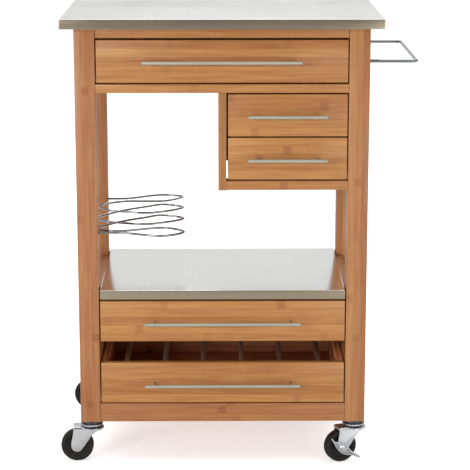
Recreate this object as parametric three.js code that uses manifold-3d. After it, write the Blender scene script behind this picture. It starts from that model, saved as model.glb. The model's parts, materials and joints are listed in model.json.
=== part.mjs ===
// A rolling utility cart: a bamboo frame on four swivel casters, with a steel worktop, a steel
// shelf, five drawers, a wire rack that keeps bottles upright and a towel rail.
// Millimetres, +Z up. The cart is laid out from the middle of its frame (X), the front faces of
// its front legs (Y, growing towards the back) and the floor (Z).
import * as THREE from 'three';
import { mergeVertices } from 'three/addons/utils/BufferGeometryUtils.js';
import Module from 'manifold-3d';

const wasm = await Module();
wasm.setup();

// Driving dimensions
const overallHeight = 850;
const topThickness = 18;
const topWidth = 588;
const topDepth = 370;
const topFrontOverhang = 24;
const sheet = 0.75;

const frameWidth = 540;
const frameDepth = 342;
const legSize = 38;
const legBottom = 81;
const panel = 15;
const backPanel = 12;
const backInset = 3;

const bottomRail = [82.5, 118.5];
const middleRail = [713, 729];
const topRail = [813, 832];
const middleRailDepth = 50;
const shelfLevels = [323, 340.5];
const shelfClearance = 1.5;

const bayWall = [-7.5, 7.5];
const bayBottomRail = [532, 549];
const bayRailDepth = 30;

const frontThickness = 15;
const drawerWall = 12;
const drawerSideGap = 2;
const drawerBase = 6;
const drawerBack = 322;
const runnerReach = 8;
const runnerHeight = 10;
const grooveDepth = 7;
const grooveHeight = 11;

const handleRadius = 3.5;
const handleReach = 24.75;
const handlePostRadius = 2.5;
const handlePostInset = 18;
const longHandle = 293;
const shortHandle = 146;

const railHeight = 769;
const railRadius = 3;
const railReach = 357;
const railCorner = 9;

const rackHeight = 449;
const rackWire = 2.25;
const rackLoops = 4;

const bottleRods = 6;
const bottlePitch = 73.5;
const rodRadius = 5;
const rodLevel = 184;

const wheelRadius = 31;
const trail = 28;
const axleRadius = 3;
const runningClearance = 0.1;
const fixedGap = 0.3;

// Places that several pieces share
const frameHalf = frameWidth / 2;
const inner = frameHalf - legSize;
const legTop = overallHeight - topThickness;
const legCentreX = frameHalf - legSize / 2;
const legCentreY = [legSize / 2, frameDepth - legSize / 2];
const backFront = frameDepth - backInset - backPanel;
const topBox = [-topWidth / 2, topWidth / 2, -topFrontOverhang, topDepth - topFrontOverhang];
const shelfHalf = inner - shelfClearance;

// The origin is under the middle of the whole cart, which reaches from the front left wheel to
// the towel rail, and from the handles in front to the bottle rack's last loop behind.
const middleX = 25;
const middleY = 167.5;

const cart = new THREE.Group();
cart.position.set(-middleX, -middleY, 0);

const finishes = {
  bamboo: { color: 0xc18e5c, roughness: 0.45, metalness: 0 },
  ply: { color: 0xb5804f, roughness: 0.6, metalness: 0 },
  steel: { color: 0xc9c9c6, roughness: 0.28, metalness: 1 },
  board: { color: 0xa88a66, roughness: 0.8, metalness: 0 },
  nickel: { color: 0xc4c0b2, roughness: 0.3, metalness: 1 },
  chrome: { color: 0xdedede, roughness: 0.08, metalness: 1 },
  zinc: { color: 0xc0c2c4, roughness: 0.35, metalness: 1 },
  rubber: { color: 0x26231f, roughness: 0.6, metalness: 0 },
};

function addPiece(name, finish, geometry, parent = cart) {
  const mesh = new THREE.Mesh(geometry, new THREE.MeshStandardMaterial(finishes[finish]));
  mesh.name = name;
  parent.add(mesh);
}

// Solids
function solidOf(geometry) {
  const bare = geometry.clone();
  bare.deleteAttribute('normal');
  bare.deleteAttribute('uv');
  const merged = mergeVertices(bare, 1e-4);
  const vertProperties = new Float32Array(merged.attributes.position.array);
  const triVerts = new Uint32Array(merged.index.array);
  return new wasm.Manifold(new wasm.Mesh({ numProp: 3, vertProperties, triVerts }));
}

function geometryOf(solid) {
  const mesh = solid.getMesh();
  const geometry = new THREE.BufferGeometry();
  geometry.setAttribute('position', new THREE.BufferAttribute(mesh.vertProperties, 3));
  geometry.setIndex(new THREE.BufferAttribute(mesh.triVerts, 1));
  geometry.computeVertexNormals();
  return geometry;
}

function join(...geometries) {
  return geometryOf(geometries.map(solidOf).reduce((whole, next) => whole.add(next)));
}

function cut(geometry, ...tools) {
  const whole = solidOf(geometry);
  return geometryOf(tools.map(solidOf).reduce((rest, next) => rest.subtract(next), whole));
}

function block(x, y, z) {
  const geometry = new THREE.BoxGeometry(x[1] - x[0], y[1] - y[0], z[1] - z[0]);
  geometry.translate((x[0] + x[1]) / 2, (y[0] + y[1]) / 2, (z[0] + z[1]) / 2);
  return geometry;
}

function mirrored(x, side) {
  return [x[0] * side, x[1] * side].sort((a, b) => a - b);
}

function rod(radius, from, to, sides = 12) {
  const start = new THREE.Vector3(...from);
  const end = new THREE.Vector3(...to);
  const along = new THREE.Vector3().subVectors(end, start);
  const geometry = new THREE.CylinderGeometry(radius, radius, along.length(), sides);
  const up = new THREE.Vector3(0, 1, 0);
  const turn = new THREE.Quaternion().setFromUnitVectors(up, along.normalize());
  geometry.applyQuaternion(turn);
  const centre = start.add(end).multiplyScalar(0.5);
  geometry.translate(centre.x, centre.y, centre.z);
  return geometry;
}

function wireAlong(curve, radius, steps, sides = 8) {
  const section = new THREE.Shape();
  for (let i = 0; i < sides; i += 1) {
    const angle = (i / sides) * 2 * Math.PI;
    const x = radius * Math.cos(angle);
    const y = radius * Math.sin(angle);
    if (i === 0) section.moveTo(x, y);
    else section.lineTo(x, y);
  }
  section.closePath();
  return new THREE.ExtrudeGeometry(section, { steps, extrudePath: curve, bevelEnabled: false });
}

// A turned solid about Z, from [radius, z] points that run upwards on the outside
function turned(profile, sides) {
  const points = profile.map(([radius, z]) => new THREE.Vector2(radius, z));
  const geometry = new THREE.LatheGeometry(points, sides);
  geometry.rotateX(Math.PI / 2);
  return geometry;
}

// A flat plate in an X-Z plane, from its outline, between two Y values
function plate(outline, y) {
  const geometry = new THREE.ExtrudeGeometry(outline, {
    depth: y[1] - y[0],
    bevelEnabled: false,
    curveSegments: 6,
  });
  geometry.rotateX(Math.PI / 2);
  geometry.translate(0, y[1], 0);
  return geometry;
}

// Frame: four legs with a blind hole for each caster's stem, three front rails, the side and
// back panels, and the wall and rail that close in the two small drawers
const stemRadius = 5;
const stemLength = 34;

function addLegs() {
  const sides = { left: -1, right: 1 };
  const rows = { front: 0, rear: 1 };
  for (const [row, r] of Object.entries(rows)) {
    for (const [side, s] of Object.entries(sides)) {
      const centre = [s * legCentreX, legCentreY[r]];
      const half = legSize / 2;
      const leg = block(
        [centre[0] - half, centre[0] + half],
        [centre[1] - half, centre[1] + half],
        [legBottom, legTop],
      );
      const hole = rod(
        stemRadius + fixedGap,
        [centre[0], centre[1], legBottom - 1],
        [centre[0], centre[1], legBottom + stemLength + 1],
        16,
      );
      addPiece(`leg_${row}_${side}`, 'bamboo', cut(leg, hole));
    }
  }
}

function addRails() {
  addPiece('top_front_rail', 'bamboo', block([-inner, inner], [3, 15], topRail));
  addPiece('middle_front_rail', 'bamboo', block([-inner, inner], [0, middleRailDepth], middleRail));
  addPiece('bottom_front_rail', 'bamboo', block([-inner, inner], [0, 18], bottomRail));
}

// A runner is the wooden strip that a drawer's groove slides on. It stands off a wall's face.
function runner(face, side, z) {
  const x = side > 0 ? [face, face + runnerReach] : [face - runnerReach, face];
  return block(x, [18, drawerBack], [z - runnerHeight / 2, z + runnerHeight / 2]);
}

// Each drawer's front spans x and z, and its box has walls between two heights
const wide = { x: [-230, 230], handle: longHandle };
const small = { x: [10.5, 230], handle: shortHandle };
const bottleDrawer = { name: 'bottle_drawer', ...wide, z: [120.5, 199], walls: [122, 196] };
const drawers = [
  { name: 'top_drawer', ...wide, z: [732, 810], walls: [737, 802] },
  { name: 'small_upper_drawer', ...small, z: [632.5, 710.5], walls: [637, 702] },
  { name: 'small_lower_drawer', ...small, z: [552, 630], walls: [557, 622] },
  { name: 'lower_drawer', ...wide, z: [241.5, 319.5], walls: [246, 306] },
  bottleDrawer,
];
const runnerLevel = Object.fromEntries(
  drawers.map(({ name, walls }) => [name, (walls[0] + walls[1]) / 2]),
);

function addSidePanels() {
  const between = [legSize, frameDepth - legSize];
  const cleatSize = 12;
  const shelfLap = 11;
  const upper = { left: middleRail[0], right: bayBottomRail[0] };
  const upperRunners = {
    left: ['top_drawer'],
    right: ['top_drawer', 'small_upper_drawer', 'small_lower_drawer'],
  };
  for (const [side, s] of [['left', -1], ['right', 1]]) {
    const x = mirrored([inner, inner + panel], s);
    const upperStrips = upperRunners[side].map((name) => runner(s * inner, -s, runnerLevel[name]));
    const upperBoard = block(x, between, [upper[side], legTop]);
    addPiece(`upper_side_panel_${side}`, 'bamboo', join(upperBoard, ...upperStrips));

    const lowerStrips = ['lower_drawer', 'bottle_drawer'].map((name) => (
      runner(s * inner, -s, runnerLevel[name])
    ));
    const lowerBoard = block(x, between, [bottomRail[0], shelfLevels[0] + shelfLap]);
    const cleat = block(
      mirrored([inner - cleatSize, inner], s),
      between,
      [shelfLevels[0] - cleatSize, shelfLevels[0]],
    );
    addPiece(`lower_side_panel_${side}`, 'bamboo', join(lowerBoard, cleat, ...lowerStrips));
  }
}

function addBackPanels() {
  const y = [backFront, frameDepth - backInset];
  addPiece('upper_back_panel', 'bamboo', block([-inner, inner], y, [middleRail[0], legTop]));
  addPiece('lower_back_panel', 'bamboo', block([-inner, inner], y, [bottomRail[0], shelfLevels[0]]));
  const bay = block([bayWall[0], inner], y, [bayBottomRail[0], middleRail[0]]);
  addPiece('small_bay_back_panel', 'bamboo', bay);
}

function addSmallBay() {
  const board = block(bayWall, [0, backFront], [bayBottomRail[0] - 1, middleRail[0]]);
  const strips = ['small_upper_drawer', 'small_lower_drawer'].map((name) => (
    runner(bayWall[1], 1, runnerLevel[name])
  ));
  addPiece('small_bay_wall', 'bamboo', join(board, ...strips));
  const rail = block([bayWall[1], inner], [0, bayRailDepth], bayBottomRail);
  addPiece('small_bay_bottom_rail', 'bamboo', rail);
}

// Worktop and shelf: each is a board with a steel sheet folded down over its four edges
function addCladBoard(name, x, y, z) {
  const inside = [
    [x[0] + sheet, x[1] - sheet],
    [y[0] + sheet, y[1] - sheet],
  ];
  addPiece(`${name}_board`, 'board', block(...inside, [z[0], z[1] - sheet]));
  const skin = cut(block(x, y, z), block(...inside, [z[0] - 1, z[1] - sheet]));
  addPiece(`${name}_skin`, 'steel', skin);
}

// Drawers: a front, a box of two sides and a back glued at the corners, a base let in between
// them, and a bar handle on two posts
function addDrawer(drawer) {
  const { name, x, z, walls, handle } = drawer;
  const depth = [frontThickness, drawerBack];
  const level = runnerLevel[name];
  const sides = [
    block([x[0], x[0] + drawerWall], depth, walls),
    block([x[1] - drawerWall, x[1]], depth, walls),
    block(x, [drawerBack - drawerWall, drawerBack], walls),
  ];
  const reach = grooveDepth + drawerSideGap;
  const grooves = [
    [x[0] - drawerSideGap, x[0] - drawerSideGap + reach],
    [x[1] + drawerSideGap - reach, x[1] + drawerSideGap],
  ].map((gx) => (
    block(gx, [depth[0] - 1, depth[1] + 1], [level - grooveHeight / 2, level + grooveHeight / 2])
  ));
  addPiece(`${name}_front`, 'bamboo', block(x, [0, frontThickness], z));
  addPiece(`${name}_box`, 'bamboo', cut(join(...sides), ...grooves));
  addPiece(`${name}_base`, 'ply', block(
    [x[0] + drawerWall, x[1] - drawerWall],
    [frontThickness, drawerBack - drawerWall],
    [walls[0], walls[0] + drawerBase],
  ));
  addPiece(`${name}_handle`, 'nickel', barHandle((x[0] + x[1]) / 2, (z[0] + z[1]) / 2, handle));
}

function barHandle(x, z, length) {
  const ends = [x - length / 2, x + length / 2];
  const posts = [ends[0] + handlePostInset, ends[1] - handlePostInset].map((postX) => (
    rod(handlePostRadius, [postX, -handleReach, z], [postX, 0, z], 10)
  ));
  const bar = rod(handleRadius, [ends[0], -handleReach, z], [ends[1], -handleReach, z]);
  return join(bar, ...posts);
}

// The bottle drawer has six rods from front to back, on which bottles lie. Near each end a thin
// cross rod, welded under them, holds them apart.
function addBottleGrid() {
  const crossRadius = 2;
  const crossInset = 2.5;
  const crossLevel = rodLevel - rodRadius + crossRadius;
  const ends = [frontThickness + fixedGap, drawerBack - drawerWall - fixedGap];
  const first = -((bottleRods - 1) / 2) * bottlePitch;
  const parts = [];
  for (let i = 0; i < bottleRods; i += 1) {
    const x = first + i * bottlePitch;
    parts.push(rod(rodRadius, [x, ends[0], rodLevel], [x, ends[1], rodLevel]));
  }
  for (const y of [ends[0] + crossInset, ends[1] - crossInset]) {
    parts.push(rod(crossRadius, [first, y, crossLevel], [-first, y, crossLevel], 8));
  }
  addPiece('bottle_grid', 'nickel', join(...parts));
}

// Bottle rack: one wire, bent into four flat loops in a row from the back leg to the front leg.
// The end loops go out and back. The middle ones cross over themselves at the neck, so there the
// wire steps down by one half and up by the other half of its own thickness and a little more.
function bottleRackPath() {
  const points = [];
  const step = 2.6;
  const neck = -194;
  const tip = -243;
  const noses = [-81, -72];
  const halfLoop = 38;
  const pitch = (legCentreY[1] - legCentreY[0]) / (rackLoops - 1);
  const start = -inner + fixedGap;
  const to = (x, y, z) => points.push(new THREE.Vector3(x, y, rackHeight + z));
  for (let i = 0; i < rackLoops; i += 1) {
    const y = legCentreY[1] - i * pitch;
    const nose = noses[0] + ((noses[1] - noses[0]) * i) / (rackLoops - 1);
    if (i === 0) {
      to(start, y, 0);
      to(neck, y + 2, 0);
      to(-124, y + halfLoop, 0);
      to(nose, y + 20, 0);
      to(-116, y - 22, 0);
      to(-155, y - 25, 0);
      to(neck, y - 26, 0);
      to(-228, y - 46, 0);
      to(tip, y - 78, 0);
    } else if (i === rackLoops - 1) {
      to(neck, y + 7, 0);
      to(-108, y + halfLoop - 4, 0);
      to(nose, y, 0);
      to(-110, y - halfLoop + 4, 0);
      to(neck + 8, y - 9, 0);
      to(start, y - 5, 0);
    } else {
      to(-225, y - 5, -step / 2);
      to(neck, y - 12, -step);
      to(-140, y - 22, -step);
      to(nose, y + 17, 0);
      to(-118, y + halfLoop - 6, step);
      to(-152, y + 10, step);
      to(neck, y - 24, step);
      to(-222, y - 52, step / 2);
      if (i < rackLoops - 2) {
        to(tip, y - 78, 0);
      } else {
        to(tip + 4, y - 68, 0);
        to(-224, y - 86, 0);
      }
    }
  }
  return new THREE.CatmullRomCurve3(points);
}

// Towel rail: one rod bent twice, with its ends in the outer faces of the right legs
function towelRailPath() {
  const path = new THREE.CurvePath();
  const start = frameHalf + fixedGap;
  const line = (a, b) => path.add(new THREE.LineCurve3(
    new THREE.Vector3(...a),
    new THREE.Vector3(...b),
  ));
  const corner = (a, b, c) => path.add(new THREE.QuadraticBezierCurve3(
    new THREE.Vector3(...a),
    new THREE.Vector3(...b),
    new THREE.Vector3(...c),
  ));
  const [front, rear] = legCentreY;
  const z = railHeight;
  const turnIn = railReach - railCorner;
  line([start, front, z], [turnIn, front, z]);
  corner([turnIn, front, z], [railReach, front, z], [railReach, front + railCorner, z]);
  line([railReach, front + railCorner, z], [railReach, rear - railCorner, z]);
  corner([railReach, rear - railCorner, z], [railReach, rear, z], [turnIn, rear, z]);
  line([turnIn, rear, z], [start, rear, z]);
  return path;
}

// Casters. The housing is fixed in the leg and carries the kingpin. The fork swivels on the
// kingpin and holds the axle, and the wheel turns on the axle.
const crown = [64.5, 69.5];
const crownRadius = 23.5;
const kingpinRadius = 4;
const kingpinFoot = 60;
const capRadius = 19.5;
const raceRadius = 20;
const flangeRadius = 21.75;
const forkHalf = [11.5, 14];
const axleHeadRadius = 5;
const round = 20;

function casterHousing() {
  const headRadius = 7;
  const headTop = kingpinFoot + 3;
  const flange = [72.5, 75];
  return turned([
    [0, kingpinFoot],
    [headRadius, kingpinFoot],
    [headRadius, headTop],
    [kingpinRadius, headTop],
    [kingpinRadius, crown[1] + 0.5],
    [raceRadius, crown[1] + 0.5],
    [raceRadius, flange[0]],
    [flangeRadius, flange[0]],
    [flangeRadius, flange[1]],
    [capRadius, flange[1]],
    [capRadius, legBottom],
    [stemRadius, legBottom],
    [stemRadius, legBottom + stemLength],
    [0, legBottom + stemLength],
  ], round);
}

function casterFork() {
  const outline = new THREE.Shape();
  const lowerEnd = 11;
  outline.moveTo(-34, crown[0] + 1);
  outline.lineTo(-34, 60);
  outline.lineTo(-trail - lowerEnd, wheelRadius);
  outline.absarc(-trail, wheelRadius, lowerEnd, Math.PI, Math.PI * 1.8, false);
  outline.lineTo(2, 54.5);
  outline.lineTo(8, 59.5);
  outline.lineTo(18, 63);
  outline.lineTo(18, crown[0] + 1);
  outline.closePath();
  const head = join(
    rod(crownRadius, [0, 0, crown[0]], [0, 0, crown[1]], round),
    block([-35.5, 0], [-forkHalf[1], forkHalf[1]], crown),
    ...[-1, 1].map((side) => plate(outline, mirrored(forkHalf, side))),
  );
  const kingpinHole = kingpinRadius + 1.5 * runningClearance;
  const past = 5;
  return cut(
    head,
    rod(kingpinHole, [0, 0, crown[0] - past], [0, 0, crown[1] + past], round),
    rod(
      axleRadius + fixedGap,
      [-trail, -forkHalf[1] - past, wheelRadius],
      [-trail, forkHalf[1] + past, wheelRadius],
      16,
    ),
  );
}

// The axle is a rivet. On a braked caster it reaches through the pedal too.
function casterAxle(frontReach) {
  const rearReach = forkHalf[1] + fixedGap;
  const head = 1.5;
  const z = wheelRadius;
  return join(
    rod(axleRadius, [-trail, -frontReach - 0.5, z], [-trail, rearReach + 0.5, z], round),
    rod(axleHeadRadius, [-trail, -frontReach - head, z], [-trail, -frontReach, z], 16),
    rod(axleHeadRadius, [-trail, rearReach, z], [-trail, rearReach + head, z], 16),
  );
}

function casterWheel() {
  const bore = axleRadius + runningClearance;
  const halfWidth = 10.5;
  const half = [
    [bore, halfWidth],
    [8, halfWidth],
    [9, 8],
    [22, 8],
    [24, 9.5],
    [28.5, 9.5],
    [wheelRadius, 5.5],
  ];
  const profile = [
    ...half.map(([radius, y]) => [radius, -y]),
    ...[...half].reverse(),
    [bore, -halfWidth],
  ];
  const points = profile.map(([radius, y]) => new THREE.Vector2(radius, y));
  const geometry = new THREE.LatheGeometry(points, round);
  geometry.translate(-trail, 0, wheelRadius);
  return geometry;
}

// The brake pedal is a pressed plate that rocks on the axle, with a lip to step on
const pedalY = [-17, -15];

function brakePedal() {
  const outline = new THREE.Shape();
  const at = (x, z) => [x - trail, z + wheelRadius];
  outline.moveTo(...at(-24.5, 20.5));
  outline.lineTo(...at(-17, 7));
  outline.quadraticCurveTo(...at(-8, -11), ...at(7.5, -15));
  outline.lineTo(...at(17.5, -16));
  outline.lineTo(...at(33, -23.5));
  outline.lineTo(...at(34, -22));
  outline.lineTo(...at(24, -14.5));
  outline.quadraticCurveTo(...at(13, -7), ...at(6, 4));
  outline.lineTo(...at(-7, 11.5));
  outline.lineTo(...at(-17.5, 13));
  outline.closePath();
  const lip = new THREE.Shape();
  lip.moveTo(...at(33, -23.5));
  lip.lineTo(...at(34, -22));
  lip.lineTo(...at(24, -14.5));
  lip.lineTo(...at(13, -5));
  lip.lineTo(...at(12, -6.5));
  lip.lineTo(...at(23, -16.5));
  lip.closePath();
  const pressed = join(plate(outline, pedalY), plate(lip, [pedalY[0] - 5, pedalY[1] - 0.5]));
  const pivot = axleRadius + runningClearance;
  return cut(pressed, rod(pivot, [-trail, -30, wheelRadius], [-trail, 0, wheelRadius], round));
}

function addCaster(place, x, y, yaw, braked) {
  const mount = new THREE.Group();
  mount.position.set(x, y, 0);
  cart.add(mount);
  const swivel = new THREE.Group();
  swivel.rotation.z = THREE.MathUtils.degToRad(yaw);
  mount.add(swivel);
  const frontReach = (braked ? -pedalY[0] : forkHalf[1]) + fixedGap;
  addPiece(`caster_${place}_housing`, 'zinc', casterHousing(), mount);
  addPiece(`caster_${place}_fork`, 'zinc', casterFork(), swivel);
  addPiece(`caster_${place}_axle`, 'zinc', casterAxle(frontReach), swivel);
  addPiece(`caster_${place}_wheel`, 'rubber', casterWheel(), swivel);
  if (braked) addPiece(`caster_${place}_brake_pedal`, 'zinc', brakePedal(), swivel);
}

// Assembly
addLegs();
addRails();
addSidePanels();
addBackPanels();
addSmallBay();
addCladBoard('worktop', topBox.slice(0, 2), topBox.slice(2), [legTop, overallHeight]);
addCladBoard('shelf', [-shelfHalf, shelfHalf], [0, frameDepth], shelfLevels);
drawers.forEach(addDrawer);
addBottleGrid();
addPiece('bottle_rack', 'chrome', wireAlong(bottleRackPath(), rackWire, 105, 6));
addPiece('towel_rail', 'chrome', wireAlong(towelRailPath(), railRadius, 72));
addCaster('front_left', -legCentreX, legCentreY[0], 0, false);
addCaster('front_right', legCentreX, legCentreY[0], 20, true);
addCaster('rear_left', -legCentreX, legCentreY[1], -15, false);
addCaster('rear_right', legCentreX, legCentreY[1], 10, false);

export default cart;
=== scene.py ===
import json
import math
import random

import bmesh
import bpy
from mathutils import Matrix, Vector


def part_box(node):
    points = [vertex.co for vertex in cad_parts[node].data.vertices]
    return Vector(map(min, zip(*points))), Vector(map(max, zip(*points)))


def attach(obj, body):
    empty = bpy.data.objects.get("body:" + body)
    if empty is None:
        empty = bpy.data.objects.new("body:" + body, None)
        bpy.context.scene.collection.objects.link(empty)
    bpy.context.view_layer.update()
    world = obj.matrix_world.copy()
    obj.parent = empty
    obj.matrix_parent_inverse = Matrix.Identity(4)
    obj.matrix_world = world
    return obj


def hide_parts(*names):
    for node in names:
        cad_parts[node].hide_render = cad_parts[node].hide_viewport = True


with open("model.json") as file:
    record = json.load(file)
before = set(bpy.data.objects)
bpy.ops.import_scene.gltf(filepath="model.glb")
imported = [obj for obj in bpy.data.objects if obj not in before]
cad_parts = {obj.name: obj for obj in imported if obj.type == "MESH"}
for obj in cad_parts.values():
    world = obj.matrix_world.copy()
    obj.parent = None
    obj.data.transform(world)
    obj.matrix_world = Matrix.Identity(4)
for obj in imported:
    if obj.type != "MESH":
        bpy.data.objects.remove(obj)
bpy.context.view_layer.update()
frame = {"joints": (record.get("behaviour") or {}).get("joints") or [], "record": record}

MM = 0.001
X, Y, Z = 0, 1, 2

body_of_node = {
    node: body
    for body, nodes in frame["record"]["behaviour"]["bodies"].items()
    for node in nodes
}


# ---------------------------------------------------------------- shader helpers
class Shader:
    """A material's node tree around one Principled BSDF."""

    def __init__(self, name, **sockets):
        self.material = bpy.data.materials.new(name)
        self.material.use_nodes = True
        self.tree = self.material.node_tree
        self.surface = self.tree.nodes["Principled BSDF"]
        for socket, value in sockets.items():
            self.surface.inputs[socket.replace("_", " ")].default_value = value

    def add(self, kind, inputs=None, output=0, **settings):
        """Adds a node, fills or links its inputs, and gives one of its outputs."""
        node = self.tree.nodes.new("ShaderNode" + kind)
        for setting, value in settings.items():
            setattr(node, setting, value)
        for socket, value in (inputs or {}).items():
            if isinstance(value, bpy.types.NodeSocket):
                self.tree.links.new(value, node.inputs[socket])
            else:
                node.inputs[socket].default_value = value
        return node.outputs[output]

    def math(self, operation, first, second=0.0):
        return self.add("Math", {0: first, 1: second}, operation=operation)

    def scaled(self, vector, scale):
        return self.add("VectorMath", {0: vector, 1: scale}, operation="MULTIPLY")

    def noise(self, vector, scale=1.0, detail=3.0, roughness=0.55):
        return self.add(
            "TexNoise",
            {"Vector": vector, "Scale": scale, "Detail": detail, "Roughness": roughness},
        )

    def remap(self, value, low, high, to_low=0.0, to_high=1.0):
        return self.add(
            "MapRange",
            {"Value": value, "From Min": low, "From Max": high, "To Min": to_low, "To Max": to_high},
        )

    def mix(self, factor, first, second, blend="MIX"):
        return self.add(
            "Mix",
            {0: factor, 6: first, 7: second},
            output=2,
            data_type="RGBA",
            blend_type=blend,
        )

    def feed(self, socket, value):
        self.tree.links.new(value, self.surface.inputs[socket])

    def bump(self, height, distance, strength=1.0):
        normal = self.add(
            "Bump", {"Height": height, "Distance": distance, "Strength": strength}
        )
        self.feed("Normal", normal)


def colour(red, green, blue):
    """A linear RGBA colour from an sRGB one with channels up to 255."""

    def linear(channel):
        share = channel / 255
        if share <= 0.04045:
            return share / 12.92
        return ((share + 0.055) / 1.055) ** 2.4

    return (linear(red), linear(green), linear(blue), 1.0)


# ---------------------------------------------------------------- materials
# Bamboo's knuckles: distances in metres along the grain from the middle of one, and how far
# they stray, as a share of their spacing. Then how strongly dark things show, and the relief.
KNUCKLE_EDGE = 0.0105
KNUCKLE_CORE = 0.003
KNUCKLE_LINE = 0.0058
KNUCKLE_LINE_EDGE = 0.0022
KNUCKLE_LINE_CORE = 0.0002
KNUCKLE_WOBBLE = 0.02
REDDISH_SHARES = (0.66, 0.52, 0.46)
FLECK_SHARE = 0.22
SEAM_SHARE = 0.35
WOOD_RELIEF = 0.00012


def bamboo(name, dark, light, node_spacing):
    """Laminated bamboo. The grain attribute holds metres along the grain, and strips across it
    and through it. Each strip has its own tone and its own row of knuckles."""
    shade = Shader(
        name, Metallic=0.0, Specular_IOR_Level=0.32, Coat_Weight=0.14, Coat_Roughness=0.25
    )
    grain = shade.add("Attribute", output="Vector", attribute_name="grain")
    tone = shade.add("Attribute", output="Fac", attribute_name="tone")
    along, across, through = (
        shade.add("SeparateXYZ", {0: grain}, output=i) for i in range(3)
    )

    wander = shade.noise(shade.scaled(grain, (3.0, 0.0, 0.0)), detail=1.0)
    row = shade.math("FLOOR", across)
    layer = shade.math("FLOOR", through)
    strip = shade.add("CombineXYZ", {0: row, 1: layer})
    strip_tone = shade.add("TexWhiteNoise", {"Vector": strip}, noise_dimensions="3D")
    strip_shift = shade.add(
        "TexWhiteNoise",
        {"Vector": shade.scaled(strip, (1.7, 2.3, 1.0))},
        noise_dimensions="3D",
    )

    streaks = shade.noise(shade.scaled(grain, (8.0, 2.6, 2.6)), detail=5.0, roughness=0.62)
    fibres = shade.noise(shade.scaled(grain, (30.0, 24.0, 24.0)), detail=3.0, roughness=0.7)
    flecks = shade.noise(shade.scaled(grain, (70.0, 60.0, 60.0)), detail=1.0)
    fleck = shade.remap(flecks, 0.62, 0.72)

    # A knuckle is a band across one strip, with a darker line at each of its sides. Some of
    # them were planed away.
    place = shade.math("ADD", shade.math("DIVIDE", along, node_spacing), strip_shift)
    wobble = shade.math("MULTIPLY", shade.math("SUBTRACT", fibres, 0.5), KNUCKLE_WOBBLE)
    place = shade.math("ADD", place, wobble)
    period = shade.math("FRACT", place)
    which = shade.add("CombineXYZ", {0: row, 1: layer, 2: shade.math("FLOOR", place)})
    chance = shade.add("TexWhiteNoise", {"Vector": which}, noise_dimensions="3D")
    strength = shade.remap(chance, 0.35, 0.95)
    gap = shade.math(
        "MULTIPLY", shade.math("ABSOLUTE", shade.math("SUBTRACT", period, 0.5)), node_spacing
    )
    band = shade.math("MULTIPLY", shade.remap(gap, KNUCKLE_EDGE, KNUCKLE_CORE), 0.5)
    line_distance = shade.math("ABSOLUTE", shade.math("SUBTRACT", gap, KNUCKLE_LINE))
    line = shade.remap(line_distance, KNUCKLE_LINE_EDGE, KNUCKLE_LINE_CORE)
    line = shade.math("MULTIPLY", line, shade.remap(streaks, 0.35, 0.6))
    knuckle = shade.math("MAXIMUM", band, shade.math("MULTIPLY", line, 0.7))
    knuckle = shade.math("MULTIPLY", knuckle, strength)

    seam_distance = shade.math(
        "ABSOLUTE", shade.math("SUBTRACT", shade.math("FRACT", across), 0.5)
    )
    seam = shade.remap(seam_distance, 0.475, 0.495)

    level = shade.math("MULTIPLY", shade.math("SUBTRACT", strip_tone, 0.5), 0.5)
    level = shade.math("ADD", level, tone)
    level = shade.math("ADD", level, shade.remap(streaks, 0.25, 0.75, -0.42, 0.42))
    level = shade.math("ADD", level, shade.remap(fibres, 0.3, 0.7, -0.12, 0.12))
    level = shade.math("ADD", level, shade.remap(wander, 0.3, 0.7, -0.06, 0.06))
    blended = shade.mix(shade.remap(level, -0.5, 0.5), dark, light)
    reddish = tuple(channel * share for channel, share in zip(dark[:3], REDDISH_SHARES)) + (1.0,)
    blended = shade.mix(knuckle, blended, reddish)
    blended = shade.mix(shade.math("MULTIPLY", fleck, FLECK_SHARE), blended, reddish)
    blended = shade.mix(shade.math("MULTIPLY", seam, SEAM_SHARE), blended, reddish)
    shade.feed("Base Color", blended)
    shade.feed("Roughness", shade.remap(fibres, 0.3, 0.7, 0.38, 0.52))
    height = shade.math("SUBTRACT", fibres, shade.math("MULTIPLY", fleck, 0.5))
    height = shade.math("ADD", height, shade.math("MULTIPLY", knuckle, 0.6))
    height = shade.math("SUBTRACT", height, seam)
    shade.bump(height, WOOD_RELIEF, 0.5)
    return shade.material


def fibreboard():
    """The plain board inside the worktop and the shelf."""
    shade = Shader("core_board", Metallic=0.0)
    place = shade.add("TexCoord", output="Object")
    chips = shade.noise(place, 600.0, detail=4.0)
    clouds = shade.noise(place, 30.0)
    chip_share = shade.math("MULTIPLY", chips, 0.7)
    cloud_share = shade.math("MULTIPLY", clouds, 0.3)
    level = shade.math("ADD", chip_share, cloud_share)
    dark = colour(138, 104, 70)
    light = colour(176, 142, 102)
    tint = shade.mix(shade.remap(level, 0.35, 0.65), dark, light)
    shade.feed("Base Color", tint)
    shade.feed("Roughness", shade.remap(chips, 0.3, 0.7, 0.75, 0.92))
    shade.bump(chips, 0.0002, 0.5)
    return shade.material


BRUSH_RELIEF = 0.00003
PLATE_RELIEF = 0.00004
MOULD_RELIEF = 0.00005


def brushed_metal(name, tint, roughness, brush, streak=0.05):
    """Metal with fine brush lines. brush scales the object's coordinates: low along the lines."""
    shade = Shader(name, Metallic=1.0)
    place = shade.add("TexCoord", output="Object")
    lines = shade.noise(shade.scaled(place, brush), detail=4.0, roughness=0.65)
    smears = shade.noise(place, 9.0, detail=2.0)
    darker = tuple(channel * (1 - 2.2 * streak) for channel in tint[:3]) + (1.0,)
    shade.feed("Base Color", shade.mix(shade.remap(lines, 0.3, 0.7), darker, tint))
    rough = shade.remap(lines, 0.3, 0.7, roughness * 0.85, roughness * 1.2)
    rough = shade.math("ADD", rough, shade.remap(smears, 0.3, 0.7, -0.02, 0.03))
    shade.feed("Roughness", rough)
    shade.bump(lines, BRUSH_RELIEF, 0.5)
    return shade.material


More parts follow.
